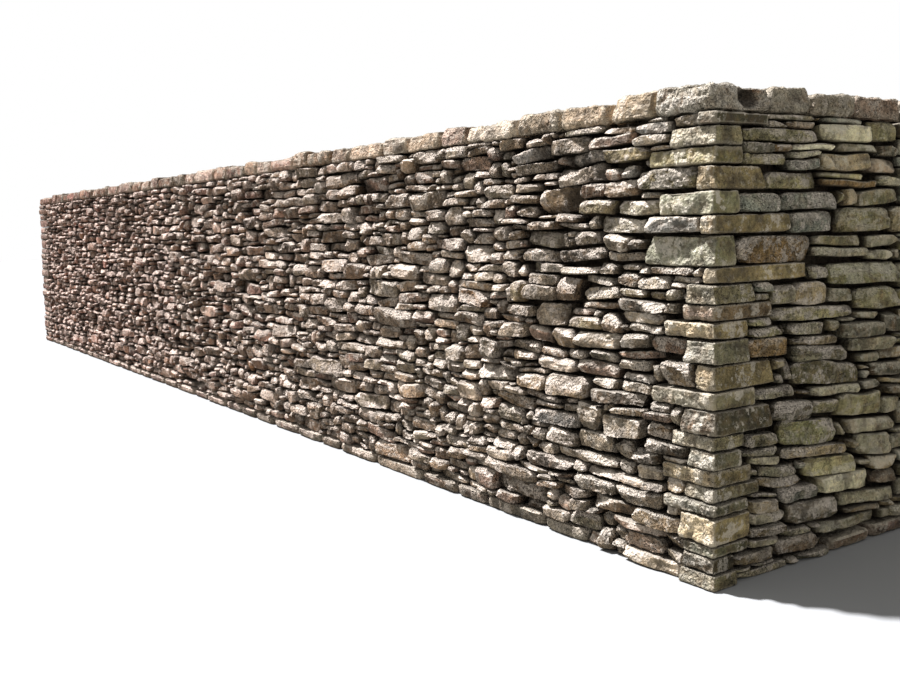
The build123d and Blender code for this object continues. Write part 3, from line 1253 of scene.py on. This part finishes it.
def bumped(graph, vector, own, strength):
    """Coarse grain and pits, stronger on some stones than on others."""
    coarse = graph.noise(vector, 42.0, 5.0, 0.6)
    shift = graph.add("TexNoise", 1, inputs={"Vector": vector, "Scale": 30.0, "Detail": 2.0})
    warped = graph.combine("ADD", vector, graph.combine("MULTIPLY", shift, WARPING))
    pits = graph.add("TexVoronoi", inputs={"Vector": warped, "Scale": 75.0})
    relief = graph.between(own, 0.0, 1.0, 0.4 * strength, 1.4 * strength)
    bump = graph.add("Bump", inputs={"Height": coarse, "Distance": graph.math("MULTIPLY", relief, 0.034)})
    distance = graph.math("MULTIPLY", relief, 0.009)
    return graph.add("Bump", inputs={"Height": pits, "Distance": distance, "Normal": bump})


def stone_material(name, finish):
    """Weathered sandstone and fieldstone, with painted highlights and shade. Each stone's own colour is
    stored with its mesh.
    """
    graph = Graph(bpy.data.materials.new(name))
    place = graph.attribute("place", VECTOR_OUT)
    vector = graph.combine("ADD", graph.add("TexCoord", OBJECT_OUT), place)
    own = graph.math("FRACT", graph.math("MULTIPLY", graph.add("SeparateXYZ", inputs={0: place}), 7.0))
    colour = mottled(graph, vector, graph.attribute("tint", COLOUR_OUT))
    colour = overgrown(graph, vector, colour, finish)
    shader = graph.add("BsdfPrincipled", inputs={
        "Base Color": aged_with_painted_light(graph, vector, own, colour, finish),
        "Roughness": graph.mottle(vector, 40.0, 3.0, 0.55, (0.3, 0.7), (0.78, 0.96)),
        "Normal": bumped(graph, vector, own, finish.relief),
        "Specular IOR Level": SPECULAR,
    })
    return graph.finish(shader)


def hearting_material():
    """Small rubble and earth deep between the stones, coloured very dark as painted shade in the gaps."""
    graph = Graph(bpy.data.materials.new("hearting"))
    lumps = graph.noise(graph.add("TexCoord", OBJECT_OUT), 30.0, 5.0, 0.55)
    colour = graph.mix(graph.between(lumps, 0.35, 0.65), HEARTING_DARK, HEARTING_LIGHT)
    bump = graph.add("Bump", inputs={"Height": lumps, "Strength": 1.0, "Distance": 0.02})
    shader = graph.add("BsdfPrincipled", inputs={"Base Color": colour, "Roughness": 0.95, "Normal": bump})
    return graph.finish(shader)


materials = {}


def material_for(kind, distance=0.0):
    """The material of one kind of stone. That of the front weathers more away from the corner."""
    name, finish = f"{kind}_stone", FINISHES.get(kind)
    if kind == "front":
        step = round(FRONT_STEPS * min(distance / FAR, 1))
        name, finish = f"{name}_{step}", blended(NEAR_FINISH, FAR_FINISH, step / FRONT_STEPS)
    if name not in materials:
        materials[name] = stone_material(name, finish)
    return materials[name]


# Pieces

SHARP_ANGLE = 15  # degrees at which an edge is shown sharp


def store(mesh, stones, counts):
    """Stores with a mesh what the material of its stones reads."""
    tints = np.column_stack([np.array([stone.tint for stone in stones]), np.ones(len(stones))])
    tint = mesh.color_attributes.new("tint", "FLOAT_COLOR", "POINT")
    tint.data.foreach_set("color", np.repeat(tints, counts, axis=0).ravel())
    place = mesh.attributes.new("place", "FLOAT_VECTOR", "POINT")
    place.data.foreach_set("vector", np.repeat([stone.place for stone in stones], counts, axis=0).ravel())
    for key in ("recess", "arris", "bulge", "rim"):
        values = mesh.attributes.new(key, "FLOAT", "POINT")
        values.data.foreach_set("value", np.concatenate([getattr(stone, key) for stone in stones]))


def to_mesh(name, stones):
    """One mesh of many stones."""
    counts = [len(stone.points) for stone in stones]
    starts = np.cumsum([0, *counts])
    quads = np.concatenate([stone.quads + start for stone, start in zip(stones, starts)])
    caps = [cap + start for stone, start in zip(stones, starts) for cap in stone.caps]
    loops = np.concatenate([quads.ravel(), *caps])
    sizes = np.array([4] * len(quads) + [len(cap) for cap in caps])
    mesh = bpy.data.meshes.new(name)
    mesh.vertices.add(int(starts[-1]))
    mesh.vertices.foreach_set("co", np.concatenate([stone.points for stone in stones]).ravel())
    mesh.loops.add(len(loops))
    mesh.loops.foreach_set("vertex_index", loops.astype(np.int32))
    mesh.polygons.add(len(sizes))
    mesh.polygons.foreach_set("loop_start", (np.cumsum(sizes) - sizes).astype(np.int32))
    mesh.update(calc_edges=True)
    mesh.validate()
    store(mesh, stones, counts)
    mesh.shade_smooth()
    mesh.set_sharp_from_angle(angle=radians(SHARP_ANGLE))
    return mesh


def make_piece(name, stones, material, replaces=()):
    """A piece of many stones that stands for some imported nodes."""
    piece = bpy.data.objects.new(name, to_mesh(name, stones))
    bpy.context.scene.collection.objects.link(piece)
    piece.data.materials.append(material)
    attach(piece, BODY)
    if replaces:
        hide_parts(*replaces)


def reach_of(node, arm):
    return arm.reach(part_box(node))


def material_at(node, kind):
    """The material of one kind of stone where a node is."""
    return material_for(kind, sum(reach_of(node, FRONT)) / 2)


# Stones near the corner that have their own place: near and far ends from the corner, then
# bottom and top from the ground, in centimetres

PLACED_MARGIN = 0.005  # room kept round them, so that no sliver is laid in their joints

RETURN_STONES = {
    "olive": (
        (23, 72, 187, 193), (111, 135, 189, 199), (23, 54, 177, 183), (38, 76, 166, 176),
        (74, 107, 171.5, 174.5), (101, 135, 159.5, 168), (83, 128, 146, 160), (71, 107, 141, 147),
        (31, 56.5, 117, 126.5), (41, 100, 108, 117), (100, 135, 111, 121.5), (26, 50, 104, 110),
        (45, 114, 78, 91), (80, 121, 61.5, 73.5), (22, 43, 56.5, 63.5), (58, 108, 36, 47),
    ),
    "moss": ((79, 135, 123, 134.5), (43, 92, 52, 65.5)),
    "blue_grey": (
        (72, 108, 196, 199), (52, 75, 174.5, 181), (21, 47.5, 157, 166.5), (48, 93, 157.5, 166),
        (54, 85, 147, 157.5), (25, 40, 72, 78), (37, 72.5, 29, 37),
    ),
    "grey": (
        (38, 72, 196, 199), (87, 119, 183, 188.5), (70, 111, 136, 141), (109, 135, 139.5, 145.5),
        (68, 82, 126.5, 133.5), (80, 101, 114, 122.5), (51, 78.5, 102.5, 109.5), (100, 121, 106, 111),
        (92, 130, 92, 99), (94, 120, 86, 92), (28, 65, 75, 82), (121, 135, 60, 68), (94, 135, 51, 61),
        (93, 130, 40.5, 53), (27, 58, 42, 48.5), (69, 115, 24.5, 37), (84, 135, 17, 26), (67, 121, 8, 14.5),
        (20, 46, 53, 57), (25, 50, 22, 28), (25, 46, 12, 17),
    ),
    "pale": (
        (72, 111, 187.5, 196), (112, 130, 132, 138.5), (56, 94, 89, 98), (65, 105, 73, 78.5),
        (20, 45, 48.5, 53), (46, 66, 12.5, 18), (120, 135, 168, 173.5),
    ),
    "white": ((55, 84, 184, 187), (54, 76, 181, 184)),
    "brown": (
        (25, 51, 193, 196), (74, 112, 175, 184), (92, 103, 160, 168), (55, 79.5, 115, 126.5),
        (60, 97, 98, 103), (46, 93, 45, 54), (32, 69, 37, 42), (108, 135, 33, 40), (23, 53, 28, 34),
        (22, 49, 16.5, 22), (94, 121, 14, 19), (14, 42, 6, 12),
    ),
    "pink": ((51, 82, 193, 197), (110, 135, 174, 182), (42, 79, 4, 13), (115, 135, 26, 33)),
    "rusty": ((42, 55, 183, 187), (75, 120, 167, 172), (19, 72, 135, 148.5), (25, 56, 93, 104)),
    "dark": (
        (23, 42, 182, 187), (119, 135, 182, 188), (78, 120, 99, 107), (121.5, 135, 99.5, 109),
        (113, 135, 77.5, 85.5), (106, 120, 73, 78), (40, 70, 65, 75), (50, 94, 15, 29), (43, 48, 82, 88),
    ),
}
FRONT_STONES = {
    "olive": (
        (62, 87, 158, 165), (42, 69, 181, 188), (127, 140, 114, 127), (29, 42, 121, 124.5),
        (43, 60, 120.5, 125.5), (70, 95, 105, 110.5),
    ),
    "moss": ((15, 52, 168, 178),),
    "blue_grey": (
        (12, 42, 149.5, 157.5), (69, 95, 182, 188.5), (29, 50, 192, 197.5), (110, 140, 185.5, 193),
        (34, 58.5, 82.5, 87), (86, 122, 55, 63), (44, 58, 174, 180.5),
    ),
    "green_grey": (
        (96, 130, 142, 151), (68, 100, 195.5, 199), (35, 62, 157.5, 166), (44, 75, 149.5, 157),
        (99, 125, 130, 135), (74, 101, 129, 133.5), (61, 79, 90, 95.5),
    ),
    "grey": (
        (53, 70, 141, 149.5), (45, 70, 137, 141.5), (71, 91, 144, 151), (80, 103, 151.5, 155.5),
        (119, 135, 158, 164), (105, 138, 179.5, 185.5), (23, 32, 115, 120.5), (30, 55, 106, 110),
        (39, 58, 98, 105), (39, 58, 77, 82.5), (59, 78.5, 77, 82.5), (81, 96, 90, 95), (116, 140, 90, 96),
        (61, 74, 130, 137), (103, 127, 116, 124), (102, 128, 124, 129.5), (121, 137, 108, 114),
        (40, 70, 56.5, 67), (70, 86, 56, 70), (48, 60, 47, 56), (87, 110, 45.5, 54.5), (102, 120, 39, 44.5),
        (30, 60, 27.5, 35.5), (60, 90.5, 26.5, 34), (81, 109, 187, 195.5),
    ),
    "pale": (
        (32, 47.5, 163, 167.5), (104, 133, 135, 142), (30, 49, 187, 192), (113, 131, 192.5, 197),
        (29, 48, 124.5, 131), (60, 85, 118, 124.5), (63, 85, 125, 130), (32, 60, 110, 115),
        (40, 62, 88, 94.5), (58, 89.5, 96, 104.5), (94, 121, 104, 117), (31, 49, 40, 47),
        (59, 101, 40.5, 46), (62, 88, 47, 57), (116, 138, 170.5, 175.5), (31, 45, 197, 199),
    ),
    "white": ((69, 105, 173, 181.5), (89.5, 120, 82, 90)),
    "brown": (
        (103, 126, 151, 156.5), (87, 106, 155.5, 160), (47, 69, 165.5, 174), (104, 127, 176, 179.5),
        (50, 73, 194, 197.5), (16, 41, 131.5, 136), (47, 63, 125.5, 132.5), (58, 71, 104, 113.5),
        (61, 88, 114.5, 117.5), (85, 106, 117, 128.5), (26, 40, 59.5, 66.5), (43, 80, 35, 40),
        (47, 76, 19, 26), (97, 116, 90, 94),
    ),
    "tan": (
        (87, 120, 160, 173), (119, 140, 165, 169.5), (14, 34, 84, 96), (112, 136, 70, 78.5),
        (81, 110, 70, 81), (18, 47, 19, 27), (119.5, 140, 85, 90), (89.5, 107, 94.5, 104),
    ),
    "pink": (
        (58, 70, 173, 180), (49, 81, 188.5, 194), (75, 95, 110.5, 114.5), (30, 60, 92.5, 97.5),
        (108.5, 125, 96, 104), (19, 39, 97, 106), (58.5, 88, 82, 90),
    ),
    "dark": (
        (70, 102, 135, 143), (39, 45, 178, 182.5), (45, 55, 142, 147.5), (29, 59, 115, 120),
        (40, 78.5, 71.5, 77), (33, 48, 47, 53.5), (90, 129, 32, 39), (17.5, 41, 53.5, 59.5),
    ),
}
PLACED_STONES = {"front": FRONT_STONES, "return": RETURN_STONES}


class Walling:
    """All the walling stones of one arm, sorted into its bays."""

    def __init__(self, arm, seed):
        self.arm = arm
        self.rng = np.random.default_rng(seed)
        self.bay_names = by_name(f"{arm.name}_wall_")
        reaches = [reach_of(name, arm) for name in self.bay_names]
        starts = [near for near, _ in reaches]
        ends = [far for _, far in reaches]
        self.joints = [starts[0] + (reach_of("corner_backing", arm)[1] - starts[0]) / 2]
        self.joints += [(start + end) / 2 for start, end in zip(starts[1:], ends)]
        self.base = self.cells_of(f"{arm.name}_base_course_")
        self.ends = self.cells_of(f"{arm.name}_end_")
        self.far = max(cell.far for cell in self.ends)
        self.groups = [[] for _ in range(len(self.bay_names) + 1)]

    def cells_of(self, prefix):
        """The room that the stones of some nodes take up."""
        boxes = sum((solids_of(name) for name in by_name(prefix)), [])
        return [Cell(*self.arm.reach(box), box[0][2], box[1][2]) for box in boxes]

    def corner_cells(self, outer):
        """Room on a side that the corner takes up."""
        heights = [(box[0][2], box[1][2]) for box in corner_stones]
        if outer:
            ends = [self.arm.reach(box)[1] for box in corner_stones]
        else:
            ends = [-back_at((bottom + top) / 2) for bottom, top in heights]
        return [Cell(0, end, bottom, top) for end, (bottom, top) in zip(ends, heights)]

    def placed(self, look, fixed):
        """(cell, colour) of each stone whose place is listed."""
        stones = PLACED_STONES[self.arm.name]
        names = [name for name, cells in stones.items() for _ in cells]
        cells = [Cell(*(side / 100 for side in cell)) for cells in stones.values() for cell in cells]
        return [
            (cell, varied(COLOURS[name], look.contrast, self.rng))
            for name, cell in zip(names, untangled(cells, fixed))
            if cell.big_enough
        ]

    def lay(self, outer, look):
        """Lays one side of the arm."""
        fixed = self.corner_cells(outer) + self.base + self.ends
        stones = self.placed(look, fixed) if outer else []
        facing = Facing(self.arm, outer, look, np.array(fixed))
        taken = fixed + [cell.grown(PLACED_MARGIN) for cell, _ in stones]
        row = Row(0, self.far, 0.0, cope_bed, taken, look, self.rng)
        stones += [(cell, pick_tint(look.tints, look.contrast, self.rng)) for cell in row.fill()]
        for cell, tint in stones:
            middle, _ = cell.middle
            at = facing.at(np.array([middle]), np.array([cell.bottom]), np.array([0.0]))[0]
            spacing = spacing_at(at, facing.out) if outer else (WIDEST, COARSEST)
            stone = walling_stone(facing, cell, tint, spacing, self.rng)
            self.groups[int(np.searchsorted(self.joints, middle))].append(stone)


HEARTING_DEPTH = 0.115  # how far the hearting lies behind the faces
HEARTING_START = 1.4 * HEARTING_DEPTH
HEARTING_END = 0.15  # how far it ends before the end of the arm
HEARTING_STEP = 0.09
HEARTING_LUMP, HEARTING_WOBBLE = 0.07, 0.02  # width and height of its lumps
OFF_THE_GROUND, INTO_THE_COPE = 0.002, 0.006
HEARTING_TINT = srgb(60, 52, 44)


def hearting(arm):
    """The lumpy core of an arm between its two skins."""
    far = max(reach_of(f"{arm.name}_end_ties", arm)) - HEARTING_END
    columns = int((far - HEARTING_START) / HEARTING_STEP)
    rows = int((cope_bed - base_top) / HEARTING_STEP)
    heights = np.linspace(OFF_THE_GROUND, cope_bed + INTO_THE_COPE, rows + 1)
    outer = np.column_stack([face_at(heights) - HEARTING_DEPTH, heights])
    inner = np.column_stack([back_at(heights) + HEARTING_DEPTH, heights])[::-1]
    section = np.concatenate([outer, inner])
    section = section[:, :1] * arm.outward + section[:, 1:] * UPWARD
    places = np.linspace(HEARTING_START, far, columns + 1)
    points = np.concatenate([place * arm.along + section for place in places])
    wobble = HEARTING_WOBBLE * noise(points / HEARTING_LUMP, 9)
    points = points + wobble[:, None] * arm.outward
    numbers = np.arange(len(points)).reshape(columns + 1, -1)
    quads = np.concatenate([join_rings(here, there) for here, there in zip(numbers, numbers[1:])])
    mirrored = np.cross(arm.along, arm.outward)[2] > 0
    quads, caps = oriented(quads, [numbers[0], numbers[-1][::-1]], mirrored)
    zeros = np.zeros(len(points))
    return Stone(points, quads, caps, HEARTING_TINT, zeros + 1, zeros, zeros, zeros, (0, 0, 0))


def make_walling():
    """The walling of the corner and of every bay."""
    core = hearting_material()
    at_corner = []
    for number, arm in enumerate(ARMS):
        walling = Walling(arm, SEED + number)
        for outer, look in zip((True, False), LOOKS[arm.name]):
            walling.lay(outer, look)
        at_corner += walling.groups[0]
        for bay, (name, stones) in enumerate(zip(walling.bay_names, walling.groups[1:]), start=1):
            material = material_at(name, arm.name)
            make_piece(f"{arm.name}_walling_{bay}", stones, material, [name])
        make_piece(f"{arm.name}_hearting", [hearting(arm)], core)
    make_piece("corner_walling", at_corner, material_for("front"), ["corner_backing"])


def make_blocks(prefix, kind, work, stone_of):
    """Replaces each node of one kind by stones in the places of its solids."""
    for name in by_name(prefix):
        rng = np.random.default_rng([SEED, *name.encode()])
        stones = [stone_of(box, work, rng) for box in solids_of(name)]
        make_piece(f"{name}_stones", stones, material_at(name, kind), [name])


# Colours of the corner stones, from the cope down

CORNER_COLOURS = (
    "dark", "pale", "olive", "tan", "green_grey", "tan", "green_grey", "tan",
    "pale", "pink", "tan", "cool_grey", "tan", "grey", "dark", "pale",
    "cool_grey", "tan", "grey", "cool_grey", "tan", "green_grey", "dark", "grey",
)
CORNER_CAST = np.array([1.0, 0.975, 0.91])
CORNER_CELLS = (0.008, 0.008, 0.06, 0.06, 0.0075)  # spacings on the four sides and upwards
SIDE_COARSER, COPE_COARSER = 1.2, 1.1  # than the walling stones beside them
FAR_COPE = 0.7  # how much darker the cope is far from the corner


def corner_stone(box, work, rng):
    above = sum(low[2] > box[0][2] + MARK for low, _ in corner_stones)
    tint = varied(COLOURS[CORNER_COLOURS[above % len(CORNER_COLOURS)]], work.contrast, rng)
    return drum_stone(box, CORNER_CELLS, work, rng, tint * CORNER_CAST)


def side_stone(box, work, rng):
    """A base or end stone, whose upright sides show."""
    size = SIDE_COARSER * cell_size_at((box[0] + box[1]) / 2)
    return weathered(drum_stone(box, 5 * (size,), work, rng), box)


def cope_stone(box, work, rng):
    middle = (box[0] + box[1]) / 2
    stone = weathered(flat_stone(box, COPE_COARSER * cell_size_at(middle), work, rng), box)
    return stone._replace(tint=stone.tint * np.interp(-middle[0], (0, FAR), (1, FAR_COPE)))


DENT_BACK, DENT_UP = 0.62, 0.44  # middle of the cap's dent, as shares of its depth and height
DENT_RADII = (0.09, 0.050, 0.036)
DENT_SUNK = (-0.06, 0, 0)  # how far the floor of the dent lies in
DENT_DIRT_AND_SHADE = 3  # how sharply the dark growth and painted shade in it end


def cap_stone(box, work, rng):
    """The cope stone on the corner, with a hollow broken out of its return side."""
    stone = cope_stone(box, work, rng)
    (_, front, bed), (side, back, top) = box
    centre = (side, front + DENT_BACK * (back - front), bed + DENT_UP * (top - bed))
    share = np.exp(-(((stone.points - centre) / DENT_RADII) ** 2).sum(1))
    points = stone.points + share[:, None] * DENT_SUNK
    # the dent is darkened with growth and painted shade through its recess
    return stone._replace(points=points, recess=np.clip(DENT_DIRT_AND_SHADE * share, 0, 1))


# Floor and light

FLOOR_SIZE = 120
FLOOR_DROP = 0.001  # how far the floor lies under the foot of the wall
FLOOR_SEEN, FLOOR_LIGHTING = (0.34, 0.355, 0.375, 1), (0.18, 0.18, 0.165, 1)
KEY_FROM = Vector((-0.43, -0.20, 0.88))  # direction of the key light, up and to the left
KEY_STRENGTH, KEY_ANGLE, KEY_COLOUR = 9.5, 3, (1.0, 0.97, 0.95)
SKY_STRENGTH, SKY_COLOUR = 0.46, (1.0, 0.96, 0.90, 1)
WHITE = (1, 1, 1, 1)


def make_floor():
    bpy.ops.mesh.primitive_plane_add(size=FLOOR_SIZE, location=(0, 0, -FLOOR_DROP))
    floor = bpy.context.object
    floor.name = "floor"
    graph = Graph(bpy.data.materials.new("floor"))
    colour = graph.mix(graph.add("LightPath"), FLOOR_LIGHTING, FLOOR_SEEN)
    shader = graph.add("BsdfDiffuse", inputs={"Color": colour})
    floor.data.materials.append(graph.finish(shader))


def make_key():
    data = bpy.data.lights.new("key", "SUN")
    data.energy = KEY_STRENGTH
    data.angle = radians(KEY_ANGLE)
    data.color = KEY_COLOUR
    key = bpy.data.objects.new("key", data)
    key.rotation_euler = KEY_FROM.to_track_quat("Z", "Y").to_euler()
    bpy.context.scene.collection.objects.link(key)


def make_sky():
    """Soft light from all round, with a white backdrop for the camera."""
    graph = Graph(bpy.data.worlds.new("studio"))
    fill = graph.add("Background", inputs={"Color": SKY_COLOUR, "Strength": SKY_STRENGTH})
    backdrop = graph.add("Background", inputs={"Color": WHITE, "Strength": 1.0})
    seen = graph.add("MixShader", inputs={0: graph.add("LightPath"), 1: fill, 2: backdrop})
    bpy.context.scene.world = graph.finish(seen, "OutputWorld")


make_walling()
make_blocks("corner_quoins_", "corner", QUOIN, corner_stone)
make_blocks("corner_cap", "cap", CAP, cap_stone)
for arm in ARMS:
    make_blocks(f"{arm.name}_cope_", "cope", COPE, cope_stone)
    make_blocks(f"{arm.name}_base_course_", arm.name, BASE, side_stone)
    make_blocks(f"{arm.name}_end_", arm.name, END, side_stone)
make_floor()
make_key()
make_sky()
make_camera()
bpy.context.scene.view_settings.view_transform = "Standard"
